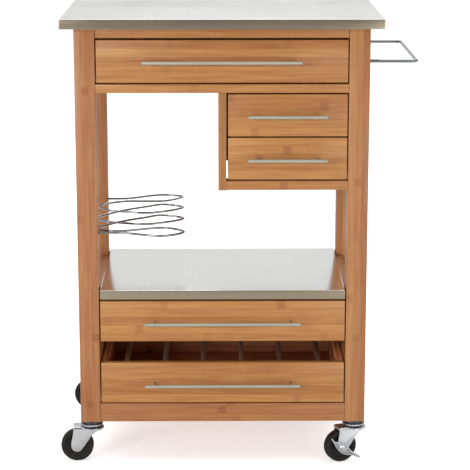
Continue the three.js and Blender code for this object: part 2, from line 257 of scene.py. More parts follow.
def plated_metal(name, tint, roughness, mottle=0.04, bump=0.15):
    """Plated metal with a slightly uneven, spotted gloss."""
    shade = Shader(name, Metallic=1.0)
    place = shade.add("TexCoord", output="Object")
    spots = shade.noise(place, 420.0, detail=3.0)
    clouds = shade.noise(place, 45.0, detail=2.0)
    darker = tuple(channel * (1 - 3 * mottle) for channel in tint[:3]) + (1.0,)
    shade.feed("Base Color", shade.mix(shade.remap(clouds, 0.35, 0.65), darker, tint))
    shade.feed("Roughness", shade.remap(spots, 0.3, 0.7, roughness * 0.8, roughness * 1.3))
    shade.bump(spots, PLATE_RELIEF, bump)
    return shade.material


def moulded(name, tint, roughness):
    """Moulded plastic or rubber, with a fine grain and a little dust."""
    shade = Shader(name, Metallic=0.0, Specular_IOR_Level=0.25)
    place = shade.add("TexCoord", output="Object")
    pores = shade.noise(place, 900.0, detail=2.0)
    dust = shade.noise(place, 60.0, detail=4.0)
    dusty = tuple(channel * 1.6 + 0.004 for channel in tint[:3]) + (1.0,)
    shade.feed("Base Color", shade.mix(shade.remap(dust, 0.5, 0.75), tint, dusty))
    shade.feed("Roughness", shade.remap(dust, 0.3, 0.7, roughness - 0.08, roughness + 0.1))
    shade.bump(pores, MOULD_RELIEF, 0.3)
    return shade.material


FLOOR_GLOW = 0.5


def plain_floor():
    """A pale floor that glows to the camera alone, so that it meets the white background."""
    shade = Shader("pale_floor", Metallic=0.0, Roughness=0.85)
    shade.surface.inputs["Emission Color"].default_value = (1, 1, 1, 1)
    seen = shade.add("LightPath", output="Is Camera Ray")
    shade.feed("Emission Strength", shade.math("MULTIPLY", seen, FLOOR_GLOW))
    place = shade.add("TexCoord", output="Object")
    clouds = shade.noise(place, 2.0)
    shade.feed("Base Color", shade.mix(clouds, (0.86, 0.86, 0.86, 1), (0.88, 0.88, 0.88, 1)))
    return shade.material


# The number after a bamboo's two colours is the spacing of its knuckles, in metres.
BAMBOO = bamboo("bamboo", colour(140, 84, 47), colour(178, 127, 80), 0.3)
BAMBOO_FRONT = bamboo("bamboo_front", colour(146, 88, 42), colour(184, 134, 75), 0.22)
BAMBOO_PLINTH = bamboo("bamboo_plinth", colour(136, 78, 40), colour(172, 119, 70), 0.26)
# Painted light: the drawers' boxes and bases take a paler bamboo, to lift the shade inside the
# drawers.
BAMBOO_INSIDE_PAINTED_LIGHT = bamboo("bamboo_inside_painted_light", colour(190, 116, 76), colour(222, 158, 112), 0.26)
BAMBOO_PANEL = bamboo("bamboo_panel", colour(146, 86, 48), colour(182, 128, 78), 0.26)
CORE_BOARD = fibreboard()
STEEL_TOP = brushed_metal("steel_sheet", colour(222, 222, 220), 0.2, (900.0, 6.0, 900.0))
# Painted shade: a darker, browner copy of the sheet steel for the worktop's upright edge faces.
STEEL_EDGE_SHADED = brushed_metal("steel_sheet_edge_shaded", colour(152, 141, 122), 0.2, (6.0, 900.0, 900.0))
STEEL_SHELF = brushed_metal(
    "steel_shelf", colour(234, 234, 231), 0.15, (900.0, 5.0, 900.0), streak=0.03
)
# Painted shade: a darker, browner copy of the shelf steel for the shelf's upright edge faces.
STEEL_SHELF_EDGE_SHADED = brushed_metal(
    "steel_shelf_edge_shaded", colour(150, 138, 118), 0.22, (6.0, 900.0, 900.0)
)
NICKEL = brushed_metal("satin_nickel", colour(184, 180, 164), 0.42, (8.0, 900.0, 900.0))
ROD_NICKEL = brushed_metal("rod_nickel", colour(222, 208, 188), 0.5, (900.0, 8.0, 900.0))
CHROME = plated_metal("chrome", colour(134, 135, 138), 0.1, mottle=0.01, bump=0.03)
ZINC = plated_metal("zinc_plate", colour(196, 198, 200), 0.32, mottle=0.02, bump=0.05)
# Painted shade: a darker, rougher, more mottled copy of the zinc for the pedal's flat face, so that
# its bright rims stand out.
ZINC_DULL_SHADED = plated_metal("zinc_plate_dull_shaded", colour(158, 160, 163), 0.36, mottle=0.08, bump=0.3)
# Painted shade: a dark plated steel for the caster's cap under the leg and its race, where the
# housing lies in shade.
CAP_PAINTED_SHADE = plated_metal("race_cap_painted_shade", colour(66, 68, 74), 0.4)
RUBBER = moulded("wheel_rubber", colour(22, 20, 17), 0.6)
SCREW = plated_metal("screw_plate", colour(196, 192, 180), 0.3)


# ---------------------------------------------------------------- mesh helpers
NO_GRAIN = (0.0, 0.0, 0.0)
BOARD_STRIP = 0.0156
BOARD_LAYER = 0.005
BOARD_BEVEL = 0.0009
TONE_SPREAD = 0.12


class Shape:
    """Gathers closed parts into one mesh: points, faces, and for wood a grain per point."""

    def __init__(self):
        self.points = []
        self.faces = []
        self.materials = []
        self.grain = []
        self.tone = []

    def add(self, points, faces, material=0, grain=None, tone=0.0, place=None):
        first = len(self.points)
        if place is not None:
            points = [place @ Vector(p) for p in points]
        self.points += [tuple(p) for p in points]
        self.faces += [[first + i for i in face] for face in faces]
        self.materials += [material] * len(faces)
        self.grain += grain or [NO_GRAIN] * len(points)
        self.tone += [tone] * len(points)

    def build(self, name, materials, sharp_degrees=35):
        mesh = bpy.data.meshes.new(name)
        mesh.from_pydata(self.points, [], self.faces)
        for material in materials:
            mesh.materials.append(material)
        mesh.polygons.foreach_set("material_index", self.materials)
        mesh.polygons.foreach_set("use_smooth", [True] * len(mesh.polygons))
        mesh.set_sharp_from_angle(angle=math.radians(sharp_degrees))
        if any(any(g) for g in self.grain):
            grain = mesh.attributes.new("grain", "FLOAT_VECTOR", "POINT")
            grain.data.foreach_set("vector", [c for g in self.grain for c in g])
            tone = mesh.attributes.new("tone", "FLOAT", "POINT")
            tone.data.foreach_set("value", self.tone)
        solid = bmesh.new()
        solid.from_mesh(mesh)
        bmesh.ops.recalc_face_normals(solid, faces=solid.faces[:])
        solid.to_mesh(mesh)
        solid.free()
        mesh.update()
        piece = bpy.data.objects.new(name, mesh)
        bpy.context.scene.collection.objects.link(piece)
        return piece


def stand_for(piece, *nodes):
    """The piece takes the place of CAD nodes, and rides on the body of the first."""
    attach(piece, body_of_node[nodes[0]])
    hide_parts(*nodes)


def rounded_block(low, high, bevel, segments=2):
    """Points and faces of a block with rounded edges."""
    solid = bmesh.new()
    bmesh.ops.create_cube(solid, size=1.0)
    for vert in solid.verts:
        for axis in (X, Y, Z):
            share = vert.co[axis] + 0.5
            vert.co[axis] = low[axis] + share * (high[axis] - low[axis])
    bmesh.ops.bevel(
        solid, geom=solid.edges[:], offset=bevel, segments=segments, profile=0.5, affect="EDGES"
    )
    solid.verts.index_update()
    points = [vert.co.copy() for vert in solid.verts]
    faces = [[vert.index for vert in face.verts] for face in solid.faces]
    solid.free()
    return points, faces


def add_board(
    shape, low, high, along, across, seed, strip=BOARD_STRIP, layer=BOARD_LAYER, bevel=BOARD_BEVEL
):
    """A bamboo board whose strips run along one axis and lie side by side across another. The
    seed and the board's corner settle which part of the grain it is cut from."""
    through = 3 - along - across
    draw = random.Random(f"{seed} {low[0]:.4f} {low[1]:.4f} {low[2]:.4f}")
    start = (draw.uniform(0, 8), 40 * draw.randint(1, 60), 40 * draw.randint(1, 60))
    tone = draw.uniform(-TONE_SPREAD, TONE_SPREAD)
    points, faces = rounded_block(low, high, bevel)
    grain = [
        (
            start[0] + p[along],
            start[1] + (p[across] - low[across]) / strip,
            start[2] + (p[through] - low[through]) / layer,
        )
        for p in points
    ]
    shape.add(points, faces, 0, grain, tone)


def ring(centre, radius, sides, first, second):
    """Points of a circle round centre, in the plane of two unit vectors."""
    points = []
    for i in range(sides):
        angle = 2 * math.pi * i / sides
        points.append(centre + radius * (math.cos(angle) * first + math.sin(angle) * second))
    return points


def level_ring(radius, z, sides):
    """Points of a level circle round Z."""
    return ring(Vector((0, 0, z)), radius, sides, Vector((1, 0, 0)), Vector((0, 1, 0)))


def straight(start, end, steps):
    """Points on a straight line, with both its ends."""
    return [start + (end - start) * i / steps for i in range(steps + 1)]


def loft(rings, closed=False):
    """Points and faces through rings of equal length, with flat ends unless they close."""
    sides = len(rings[0])
    count = len(rings)
    points = [p for one in rings for p in one]
    faces = []
    for j in range(count if closed else count - 1):
        near = j * sides
        far = (j + 1) % count * sides
        for i in range(sides):
            after = (i + 1) % sides
            faces.append([near + i, near + after, far + after, far + i])
    if not closed:
        faces.append(list(range(sides))[::-1])
        faces.append([(count - 1) * sides + i for i in range(sides)])
    return points, faces


ROUND_END_STEPS = 3


def wire(path, radius, sides, end_round=0.0):
    """A round wire along a path, turned as little as possible from ring to ring. Its ends are
    flat, or rounded as far as end_round."""
    rings = []
    tangents = []
    for i in range(len(path)):
        before = path[max(i - 1, 0)]
        after = path[min(i + 1, len(path) - 1)]
        tangents.append((after - before).normalized())
    normal = tangents[0].orthogonal().normalized()
    for i, point in enumerate(path):
        normal = (normal - normal.dot(tangents[i]) * tangents[i]).normalized()
        side = tangents[i].cross(normal)
        rings.append(ring(point, radius, sides, normal, side))
    if end_round > 0:
        head = []
        tail = []
        for step in range(ROUND_END_STEPS, 0, -1):
            angle = math.pi / 2 * step / (ROUND_END_STEPS + 0.4)
            shrink = math.cos(angle)
            reach = end_round * math.sin(angle)
            first = path[0] - reach * tangents[0]
            last = path[-1] + reach * tangents[-1]
            head.append([first + (p - path[0]) * shrink for p in rings[0]])
            tail.append([last + (p - path[-1]) * shrink for p in rings[-1]])
        rings = head + rings + tail[::-1]
    return loft(rings)


def arc(centre, radius, start, end, steps):
    """Points (a, b) on an arc, angles in degrees."""
    points = []
    for i in range(steps + 1):
        angle = math.radians(start + (end - start) * i / steps)
        points.append((centre[0] + radius * math.cos(angle), centre[1] + radius * math.sin(angle)))
    return points


def extruded(outline, low, high, bevel, segments=2):
    """A plate from an outline of (x, z) points, between two Y values, with rounded edges."""
    solid = bmesh.new()
    near = [solid.verts.new((x, low, z)) for x, z in outline]
    far = [solid.verts.new((x, high, z)) for x, z in outline]
    count = len(outline)
    solid.faces.new(near)
    solid.faces.new(far[::-1])
    for i in range(count):
        after = (i + 1) % count
        solid.faces.new([near[after], near[i], far[i], far[after]])
    bmesh.ops.recalc_face_normals(solid, faces=solid.faces[:])
    rims = [e for e in solid.edges if abs(e.verts[0].co.y - e.verts[1].co.y) < 1e-7]
    bmesh.ops.bevel(
        solid, geom=rims, offset=bevel, segments=segments, profile=0.5, affect="EDGES",
        clamp_overlap=True,
    )
    solid.verts.index_update()
    points = [vert.co.copy() for vert in solid.verts]
    faces = [[vert.index for vert in face.verts] for face in solid.faces]
    solid.free()
    return points, faces


# ---------------------------------------------------------------- places shared by pieces
leg_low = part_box("leg_front_left")[0]
leg_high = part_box("leg_rear_right")[1]
FRAME_MIDDLE_X = (leg_low.x + leg_high.x) / 2
FRAME_FRONT_Y = leg_low.y
# From the front legs' backs to the rear legs' fronts.
BETWEEN_LEGS_Y = (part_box("leg_front_left")[1].y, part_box("leg_rear_left")[0].y)
DRAWERS = (
    "top_drawer", "small_upper_drawer", "small_lower_drawer", "lower_drawer", "bottle_drawer"
)
SMALL_DRAWERS = ("small_upper_drawer", "small_lower_drawer")
PANEL = 15 * MM
RUNNER_REACH = 8 * MM
RUNNER_HEIGHT = 10 * MM
GROOVE_DEPTH = 7 * MM
GROOVE_HEIGHT = 11 * MM
CLEAT = 12 * MM
LEG_STRIP = 12.7 * MM
PANEL_STRIP = 0.02
LEG_BEVEL = 0.0014
RUNNER_BEVEL = 0.0007


def runner_level(drawer):
    low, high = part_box(f"{drawer}_box")
    return (low.z + high.z) / 2


# ---------------------------------------------------------------- wooden frame
def one_board(
    node, along, across, material, strip=BOARD_STRIP, layer=BOARD_LAYER, bevel=BOARD_BEVEL
):
    """One laminated board in the whole box of a CAD node."""
    low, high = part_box(node)
    shape = Shape()
    add_board(shape, low, high, along, across, node, strip, layer, bevel)
    stand_for(shape.build(f"{node}_laminate", [material]), node)


def build_legs():
    for row in ("front", "rear"):
        for side in ("left", "right"):
            leg = f"leg_{row}_{side}"
            one_board(leg, Z, X, BAMBOO, strip=LEG_STRIP, layer=LEG_STRIP, bevel=LEG_BEVEL)


def build_rails():
    for node in ("top_front_rail", "middle_front_rail", "small_bay_bottom_rail"):
        one_board(node, X, Z, BAMBOO_FRONT)
    one_board("bottom_front_rail", X, Z, BAMBOO_PLINTH)


def add_runner(shape, face, side, level, y, seed):
    """A hardwood runner glued to a wall's face, standing off it towards side."""
    x = sorted((face, face + side * RUNNER_REACH))
    low = Vector((x[0], y[0], level - RUNNER_HEIGHT / 2))
    high = Vector((x[1], y[1], level + RUNNER_HEIGHT / 2))
    add_board(shape, low, high, Y, Z, seed, strip=RUNNER_HEIGHT, bevel=RUNNER_BEVEL)


def build_side_panel(node, side, drawers, cleated):
    """side is -1 on the left of the cart and 1 on the right. Runners stand off inwards."""
    low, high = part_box(node)
    outer = low.x if side < 0 else high.x
    face = outer - side * PANEL
    shape = Shape()
    board_x = sorted((outer, face))
    add_board(
        shape,
        Vector((board_x[0], BETWEEN_LEGS_Y[0], low.z)),
        Vector((board_x[1], BETWEEN_LEGS_Y[1], high.z)),
        Y, Z, node, strip=PANEL_STRIP,
    )
    for drawer in drawers:
        add_runner(shape, face, -side, runner_level(drawer), (low.y, high.y), drawer)
    if cleated:
        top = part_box("shelf_board")[0].z
        cleat_x = sorted((face, face - side * CLEAT))
        add_board(
            shape,
            Vector((cleat_x[0], BETWEEN_LEGS_Y[0], top - CLEAT)),
            Vector((cleat_x[1], BETWEEN_LEGS_Y[1], top)),
            Y, Z, "cleat", strip=CLEAT,
        )
    stand_for(shape.build(f"{node}_boards", [BAMBOO_PANEL]), node)


def build_side_panels():
    lower = ("lower_drawer", "bottle_drawer")
    build_side_panel("upper_side_panel_left", -1, ("top_drawer",), False)
    build_side_panel("upper_side_panel_right", 1, ("top_drawer",) + SMALL_DRAWERS, False)
    build_side_panel("lower_side_panel_left", -1, lower, True)
    build_side_panel("lower_side_panel_right", 1, lower, True)


def build_bay_wall():
    low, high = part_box("small_bay_wall")
    face = low.x + PANEL
    shape = Shape()
    add_board(shape, low, Vector((face, high.y, high.z)), Z, Y, "bay wall", strip=PANEL_STRIP)
    runner_y = [corner.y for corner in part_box("upper_side_panel_right")]
    for drawer in SMALL_DRAWERS:
        add_runner(shape, face, 1, runner_level(drawer), runner_y, drawer)
    stand_for(shape.build("small_bay_wall_boards", [BAMBOO_FRONT]), "small_bay_wall")


# How far a screw's head is let into what it holds, and where a back panel's screws are.
SCREW_LET_IN = 0.2 * MM
PANEL_SCREW_INSET = 9 * MM
PANEL_SCREW_SHARES = (0.12, 0.5, 0.88)
BACKWARDS = Matrix.Rotation(-math.pi / 2, 4, "X")


def screw_points(radius, height, sides=20):
    """A pan head on the XY plane, rising along Z, with a shallow dimple in its crown."""
    profile = [(radius, 0)]
    profile += [(radius * math.cos(a), height * math.sin(a)) for a in (0.35, 0.8, 1.2)]
    profile += [(radius * 0.3, height), (radius * 0.22, height * 0.55), (0, height * 0.5)]
    return loft([level_ring(max(r, 1e-5), z, sides) for r, z in profile])


def build_back_panels():
    """Thin back panels, each held by a row of screws near its left and right edges."""
    for node in ("upper_back_panel", "lower_back_panel", "small_bay_back_panel"):
        one_board(node, X, Z, BAMBOO_PANEL, strip=PANEL_STRIP)
        low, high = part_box(node)
        shape = Shape()
        for x in (low.x + PANEL_SCREW_INSET, high.x - PANEL_SCREW_INSET):
            for share in PANEL_SCREW_SHARES:
                place = Vector((x, high.y - SCREW_LET_IN, low.z + share * (high.z - low.z)))
                points, faces = screw_points(3.2 * MM, 1.6 * MM)
                shape.add(points, faces, place=Matrix.Translation(place) @ BACKWARDS)
        screws = shape.build(f"{node}_screws", [SCREW])
        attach(screws, body_of_node[node])


# ---------------------------------------------------------------- steel-clad boards
def rounded_rectangle(low, high, inset, corner, z, segments=5):
    """A level ring of points round a rectangle with round corners."""
    radius = max(corner - inset, 0.2 * MM)
    reach = inset + radius
    corners = (
        (high.x - reach, high.y - reach, 0),
        (low.x + reach, high.y - reach, 90),
        (low.x + reach, low.y + reach, 180),
        (high.x - reach, low.y + reach, 270),
    )
    return [
        Vector((x, y, z))
        for cx, cy, start in corners
        for x, y in arc((cx, cy), radius, start, start + 90, segments)
    ]


# A sheet's lower edge is rounded by a share of its thickness. The board inside is held clear.
HEM_SHARE = 0.35
CORE_GAP = 0.3
CORE_BEVEL = 0.8 * MM


def build_clad_board(name, top_material, shaded_edge_material, corner, fold):
    """A sheet folded down over a board: one skin with a rounded fold and a hemmed lower edge. Its
    upright faces take a darker, browner copy of the steel as painted shade.
    """
    low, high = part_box(f"{name}_skin")
    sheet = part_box(f"{name}_board")[0].x - low.x
    profile = [(fold - x, high.z - fold + z) for x, z in arc((0, 0), fold, 90, 0, 5)]
    profile += [
        (0, low.z + HEM_SHARE * sheet),
        (0.3 * sheet, low.z),
        (0.7 * sheet, low.z),
        (sheet, low.z + HEM_SHARE * sheet),
        (sheet, high.z - 2 * sheet),
        (2 * sheet, high.z - sheet),
    ]
    rings = [rounded_rectangle(low, high, inset, corner, z) for inset, z in profile]
    points, faces = loft(rings)
    shape = Shape()
    shape.add(points, faces)
    skin = shape.build(f"{name}_folded_sheet", [top_material, shaded_edge_material])
    # Upright faces get the darker copy of the steel: painted shade.
    for face in skin.data.polygons:
        if abs(face.normal.z) < 0.5:
            face.material_index = 1
    stand_for(skin, f"{name}_skin")

    low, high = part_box(f"{name}_board")
    shape = Shape()
    gap = Vector((1, 1, 1)) * CORE_GAP * MM
    points, faces = rounded_block(low + gap, high - gap, CORE_BEVEL)
    shape.add(points, faces)
    stand_for(shape.build(f"{name}_core", [CORE_BOARD]), f"{name}_board")


# ---------------------------------------------------------------- drawers
HANDLE_POST_INSET = 18 * MM
HANDLE_POST_RADIUS = 1.6 * MM
HANDLE_ROUNDING = 0.7 * MM
DRAWER_BEVEL = 0.7 * MM
FRONT_BEVEL = 0.0011
BASE_BEVEL = 0.0004


def build_drawer_box(drawer):
    """Two sides and a back. Each side is a web with a strip above and below its runner's
    groove."""
    low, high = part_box(f"{drawer}_box")
    base_low, base_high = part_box(f"{drawer}_base")
    wall = base_low.x - low.x
    level = runner_level(drawer)
    shape = Shape()
    strip = (high.z - low.z) / 4

    def add(x, y, z, along, label):
        corners = (Vector((x[0], y[0], z[0])), Vector((x[1], y[1], z[1])))
        add_board(
            shape, *corners, along, Z, f"{drawer} {label}", strip=strip, bevel=DRAWER_BEVEL
        )

    for side in (-1, 1):
        outer = low.x if side < 0 else high.x
        groove_face = outer - side * GROOVE_DEPTH
        inner = outer - side * wall
        depth = (low.y, high.y)
        add(sorted((groove_face, inner)), depth, (low.z, high.z), Y, f"web {side}")
        for z in ((low.z, level - GROOVE_HEIGHT / 2), (level + GROOVE_HEIGHT / 2, high.z)):
            add(sorted((outer, groove_face)), depth, z, Y, f"outer {side}")
    add((base_low.x, base_high.x), (base_high.y, high.y), (low.z, high.z), X, "back")
    stand_for(shape.build(f"{drawer}_box_boards", [BAMBOO_INSIDE_PAINTED_LIGHT]), f"{drawer}_box")


def build_handle(drawer):
    """A round bar on two posts, and the two screws that hold it from inside the drawer."""
    low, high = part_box(f"{drawer}_handle")
    radius = (high.z - low.z) / 2
    middle_z = (low.z + high.z) / 2
    bar_y = low.y + radius
    post_places = (low.x + HANDLE_POST_INSET, high.x - HANDLE_POST_INSET)
    shape = Shape()
    left = Vector((low.x + HANDLE_ROUNDING, bar_y, middle_z))
    right = Vector((high.x - HANDLE_ROUNDING, bar_y, middle_z))
    points, faces = wire(straight(left, right, 8), radius, sides=24, end_round=HANDLE_ROUNDING)
    shape.add(points, faces)
    reach = high.y - bar_y
    for x in post_places:
        rings = [level_ring(HANDLE_POST_RADIUS, z, 20) for z in (0, reach / 2, reach)]
        points, faces = loft(rings)
        stand = Matrix.Translation((x, high.y, middle_z)) @ Matrix.Rotation(math.pi / 2, 4, "X")
        shape.add(points, faces, place=stand)
    stand_for(shape.build(f"{drawer}_bar_handle", [NICKEL]), f"{drawer}_handle")

    front_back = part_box(f"{drawer}_front")[1].y
    shape = Shape()
    for x in post_places:
        points, faces = screw_points(3.6 * MM, 2.0 * MM)
        spot = Matrix.Translation((x, front_back - SCREW_LET_IN, middle_z))
        shape.add(points, faces, place=spot @ BACKWARDS)
    screws = shape.build(f"{drawer}_handle_screws", [SCREW])
    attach(screws, drawer)


def build_drawers():
    for drawer in DRAWERS:
        one_board(f"{drawer}_front", X, Z, BAMBOO_FRONT, bevel=FRONT_BEVEL)
        one_board(f"{drawer}_base", X, Y, BAMBOO_INSIDE_PAINTED_LIGHT, strip=PANEL_STRIP, bevel=BASE_BEVEL)
        build_drawer_box(drawer)
        build_handle(drawer)


BOTTLE_RODS = 6
CROSS_ROD_RADIUS = 2 * MM
CROSS_ROD_INSET = 2.5 * MM
ROD_ROUNDING = 0.6 * MM


def build_bottle_grid():
    """Rods from front to back that bottles lie on, and two thin cross rods under them."""
    low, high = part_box("bottle_grid")
    radius = (high.z - low.z) / 2
    axis_z = high.z - radius
    pitch = (high.x - low.x - 2 * radius) / (BOTTLE_RODS - 1)
    shape = Shape()
    for i in range(BOTTLE_RODS):
        x = low.x + radius + i * pitch
        front = Vector((x, low.y + ROD_ROUNDING, axis_z))
        rear = Vector((x, high.y - ROD_ROUNDING, axis_z))
        points, faces = wire(straight(front, rear, 6), radius, sides=24, end_round=ROD_ROUNDING)
        shape.add(points, faces)
    cross_z = low.z + CROSS_ROD_RADIUS
    for y in (low.y + CROSS_ROD_INSET, high.y - CROSS_ROD_INSET):
        left = Vector((low.x + radius, y, cross_z))
        right = Vector((high.x - radius, y, cross_z))
        points, faces = wire(straight(left, right, 8), CROSS_ROD_RADIUS, sides=14)
        shape.add(points, faces)
    stand_for(shape.build("bottle_grid_rods", [ROD_NICKEL]), "bottle_grid")


# ---------------------------------------------------------------- bent wires
def smooth_curve(points, count):
    """A centripetal Catmull-Rom curve through the points."""
    spans = len(points) - 1
    curve = []
    for k in range(count + 1):
        position = spans * k / count
        i = min(int(position), spans - 1)
        t = position - i
        p1, p2 = points[i], points[i + 1]
        p0 = points[i - 1] if i > 0 else 2 * p1 - p2
        p3 = points[i + 2] if i + 2 <= spans else 2 * p2 - p1
        d0 = (p1 - p0).length ** 0.5
        d1 = (p2 - p1).length ** 0.5
        d2 = (p3 - p2).length ** 0.5
        leave = ((p1 - p0) / d0 - (p2 - p0) / (d0 + d1) + (p2 - p1) / d1) * d1
        reach = ((p2 - p1) / d1 - (p3 - p1) / (d1 + d2) + (p3 - p2) / d2) * d1
        square = -3 * p1 + 3 * p2 - 2 * leave - reach
        cube = 2 * p1 - 2 * p2 + leave + reach
        curve.append(p1 + leave * t + square * t * t + cube * t ** 3)
    return curve


# How far the rack's wire rises and dips where it crosses itself, in millimetres.
RACK_STEP = 2.6
RACK_WIRE_RADIUS = 2.25 * MM
RACK_CURVE_STEPS = 620


def bottle_rack_points():
    """Four flat loops in a row from the back leg to the front leg, in millimetres from the
    frame's middle, its front and the rack's own height."""
    points = []
    step = RACK_STEP
    neck = -194
    tip = -243
    noses = (-81, -72)
    half_loop = 38
    loops = 4
    leg_rows = (19, 323)
    pitch = (leg_rows[1] - leg_rows[0]) / (loops - 1)
    start = -234
    for i in range(loops):
        y = leg_rows[1] - i * pitch
        nose = noses[0] + (noses[1] - noses[0]) * i / (loops - 1)
        if i == 0:
            points += [
                (start, y, 0), (neck, y + 2, 0), (-124, y + half_loop, 0), (nose, y + 20, 0),
                (-116, y - 22, 0), (-155, y - 25, 0), (neck, y - 26, 0), (-228, y - 46, 0),
                (tip, y - 78, 0),
            ]
        elif i == loops - 1:
            points += [
                (neck, y + 7, 0), (-108, y + half_loop - 4, 0), (nose, y, 0),
                (-110, y - half_loop + 4, 0), (neck + 8, y - 9, 0), (start, y - 5, 0),
            ]
        else:
            points += [
                (-225, y - 5, -step / 2), (neck, y - 12, -step), (-140, y - 22, -step),
                (nose, y + 17, 0), (-118, y + half_loop - 6, step), (-152, y + 10, step),
                (neck, y - 24, step), (-222, y - 52, step / 2),
            ]
            if i < loops - 2:
                points.append((tip, y - 78, 0))
            else:
                points += [(tip + 4, y - 68, 0), (-224, y - 86, 0)]
    return points


def build_bottle_rack():
    low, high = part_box("bottle_rack")
    middle_z = (low.z + high.z) / 2
    radius = min((high.z - low.z) / 2 - RACK_STEP * MM, RACK_WIRE_RADIUS)
    places = [
        Vector((FRAME_MIDDLE_X + x * MM, FRAME_FRONT_Y + y * MM, middle_z + z * MM))
        for x, y, z in bottle_rack_points()
    ]
    points, faces = wire(smooth_curve(places, RACK_CURVE_STEPS), radius, sides=16)
    shape = Shape()
    shape.add(points, faces)
    stand_for(shape.build("bottle_rack_wire", [CHROME], sharp_degrees=60), "bottle_rack")


# The towel rail's bends, how far its ends go into the legs, and the collar at each end.
RAIL_CORNER = 9 * MM
RAIL_INTO_LEG = 2 * MM
RAIL_COLLAR = 0.5 * MM


def build_towel_rail():
    """A rod bent twice, with a low collar where it enters each leg."""
    low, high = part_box("towel_rail")
    radius = (high.z - low.z) / 2
    z = (low.z + high.z) / 2
    front = low.y + radius
    rear = high.y - radius
    end = high.x - radius
    corner = RAIL_CORNER
    start = low.x - RAIL_INTO_LEG
    path = [(start + (end - corner - start) * i / 4, front) for i in range(4)]
    path += arc((end - corner, front + corner), corner, -90, 0, 12)
    length = rear - front - 2 * corner
    path += [(end, front + corner + length * i / 6) for i in range(1, 6)]
    path += arc((end - corner, rear - corner), corner, 0, 90, 12)
    path += [(end - corner + (start - end + corner) * i / 4, rear) for i in range(1, 5)]
    points, faces = wire([Vector((x, y, z)) for x, y in path], radius, sides=24)
    shape = Shape()
    shape.add(points, faces)
    rim = radius + RAIL_COLLAR
    collar = ((rim, 0), (rim, 0.4 * MM), (radius, 0.6 * MM))
    for y in (front, rear):
        points, faces = loft([level_ring(r, height, 24) for r, height in collar])
        stand = Matrix.Translation((low.x - 0.3 * MM, y, z)) @ Matrix.Rotation(math.pi / 2, 4, "Y")
        shape.add(points, faces, place=stand)
    stand_for(shape.build("towel_rail_tube", [CHROME], sharp_degrees=60), "towel_rail")


# ---------------------------------------------------------------- casters
# Every length in this section is in millimetres, and caster_place brings it to metres.
PLACES = ("front_left", "front_right", "rear_left", "rear_right")
BRAKED_PLACE = "front_right"
TRAIL = 28.0
AXLE_HEIGHT = 31.0
FORK_INNER = 11.5
FORK_OUTER = 14.0
BALLS = 18
BALL_RADIUS = 1.15
BALL_ANGLES = (-1.5, -0.9, -0.3, 0.3, 0.9, 1.5)
RACE_RADIUS = 19.0
RACE_HEIGHT = 71.3
BOSS_LET_IN = 0.2
RIVET_SLACK = 0.3
PEDAL_RIVET = 17.3
RIBS = 8
RIB_FROM = 7.4
RIB_TO = 22.2
RIB_HALF = 0.7
RIB_FACES = (6.8, 8.6)
PEDAL_OUTER = -16.6
PEDAL_INNER = -15.1
PEDAL_RIM_Y = -16.5
PEDAL_RIM_RADIUS = 0.9
ALONG_AXLE = Matrix.Translation((-TRAIL, 0, AXLE_HEIGHT)) @ Matrix.Rotation(math.pi / 2, 4, "X")


def caster_place(place):
    """Where a caster stands: its own frame has Z up the kingpin, and its wheel behind it at
    negative X, in millimetres."""
    joints = {joint["name"]: joint for joint in frame["joints"]}
    turn = joints[f"caster_{place}_turn"]["pos_m"]
    roll = joints[f"caster_{place}_roll"]["pos_m"]
    yaw = math.atan2(turn[1] - roll[1], turn[0] - roll[0])
    stand = Matrix.Translation((turn[0], turn[1], 0)) @ Matrix.Rotation(yaw, 4, "Z")
    return stand @ Matrix.Scale(MM, 4)


def add_turned(shape, profile, material, place, sides=56):
    """A solid turned about Z from (radius, z) points, or a ring if the profile closes."""
    rings = [level_ring(max(radius, 1e-4), z, sides) for radius, z in profile]
    hollow = profile[0][0] > 0 and profile[-1] == profile[0]
    if hollow:
        points, faces = loft(rings[:-1], closed=True)
    else:
        points, faces = loft(rings)
    shape.add(points, faces, material, place=place)


def build_housing(place, stand):
    """A cap under the leg, a rolled flange, the ball race, and the kingpin's riveted foot. The cap
    and the race take a dark steel as painted shade.
    """
    shape = Shape()
    # Material 1 on the cap and the race is the dark steel: painted shade.
    cap = [
        (0, 75.0), (18.6, 75.0), (19.3, 75.4), (19.5, 76.2), (19.5, 80.2), (19.1, 80.8), (0, 80.9)
    ]
    add_turned(shape, cap, 1, stand)
    flange = [
        (0, 72.6), (20.6, 72.5), (21.5, 72.8), (21.75, 73.6), (21.6, 74.5), (20.9, 75.0), (0, 75.1)
    ]
    add_turned(shape, flange, 0, stand)
    race = [
        (0, 70.1), (18.4, 70.1), (19.6, 70.5), (20.0, 71.3), (19.4, 72.2), (18.6, 72.6), (0, 72.6)
    ]
    add_turned(shape, race, 1, stand)
    ball = [(BALL_RADIUS * math.cos(a), BALL_RADIUS * math.sin(a)) for a in BALL_ANGLES]
    for i in range(BALLS):
        angle = 2 * math.pi * i / BALLS
        centre = (RACE_RADIUS * math.cos(angle), RACE_RADIUS * math.sin(angle), RACE_HEIGHT)
        add_turned(shape, ball, 0, stand @ Matrix.Translation(centre), sides=12)
    pin = [
        (0, 60.0), (5.4, 60.0), (6.6, 60.5), (7.0, 61.6), (6.4, 62.6), (4.2, 63.0), (4.0, 63.2),
        (4.0, 70.4), (0, 70.4),
    ]
    add_turned(shape, pin, 0, stand, sides=40)
    stem = [(0, 80.0), (5.0, 80.0), (5.0, 114.0), (4.2, 115.0), (0, 115.0)]
    add_turned(shape, stem, 0, stand, sides=32)
    stand_for(
        shape.build(f"caster_{place}_ball_race", [ZINC, CAP_PAINTED_SHADE]), f"caster_{place}_housing"
    )


